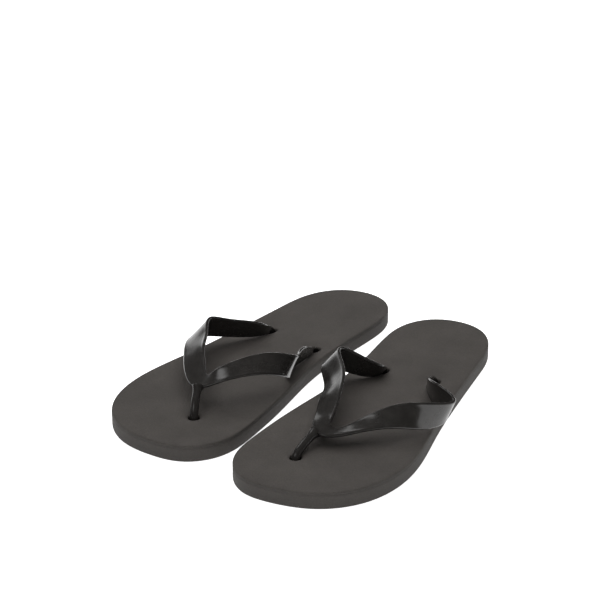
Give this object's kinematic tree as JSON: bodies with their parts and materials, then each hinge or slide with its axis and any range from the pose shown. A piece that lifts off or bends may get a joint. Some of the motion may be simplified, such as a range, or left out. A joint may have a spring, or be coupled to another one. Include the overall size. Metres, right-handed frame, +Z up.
{
  "type": "flip flop",
  "caption": "Pair of plain flat flip flops, each a die-cut foam sole with a one-piece moulded Y strap plugged through a toe hole and side holes.",
  "frame": {"origin": "centre of the pair's box, on the floor", "axes": "+Z up, toes towards -Y, heels towards +Y, the left foot's shoe on the +X side"},
  "size_m": [0.2122, 0.2882, 0.0389],
  "materials": {
    "sole_foam": "matte fine-grained EVA foam",
    "strap_plastic": "glossy flexible PVC"
  },
  "bodies": {
    "left_shoe": {"left_sole": "sole_foam", "left_strap": "strap_plastic"},
    "right_shoe": {"right_sole": "sole_foam", "right_strap": "strap_plastic"}
  },
  "joints": [
    {"name": "right_shoe_apart", "type": "slide", "parent": "left_shoe", "child": "right_shoe", "axis": [-1, 0, 0], "range_m": [0, 0.15]}
  ]
}
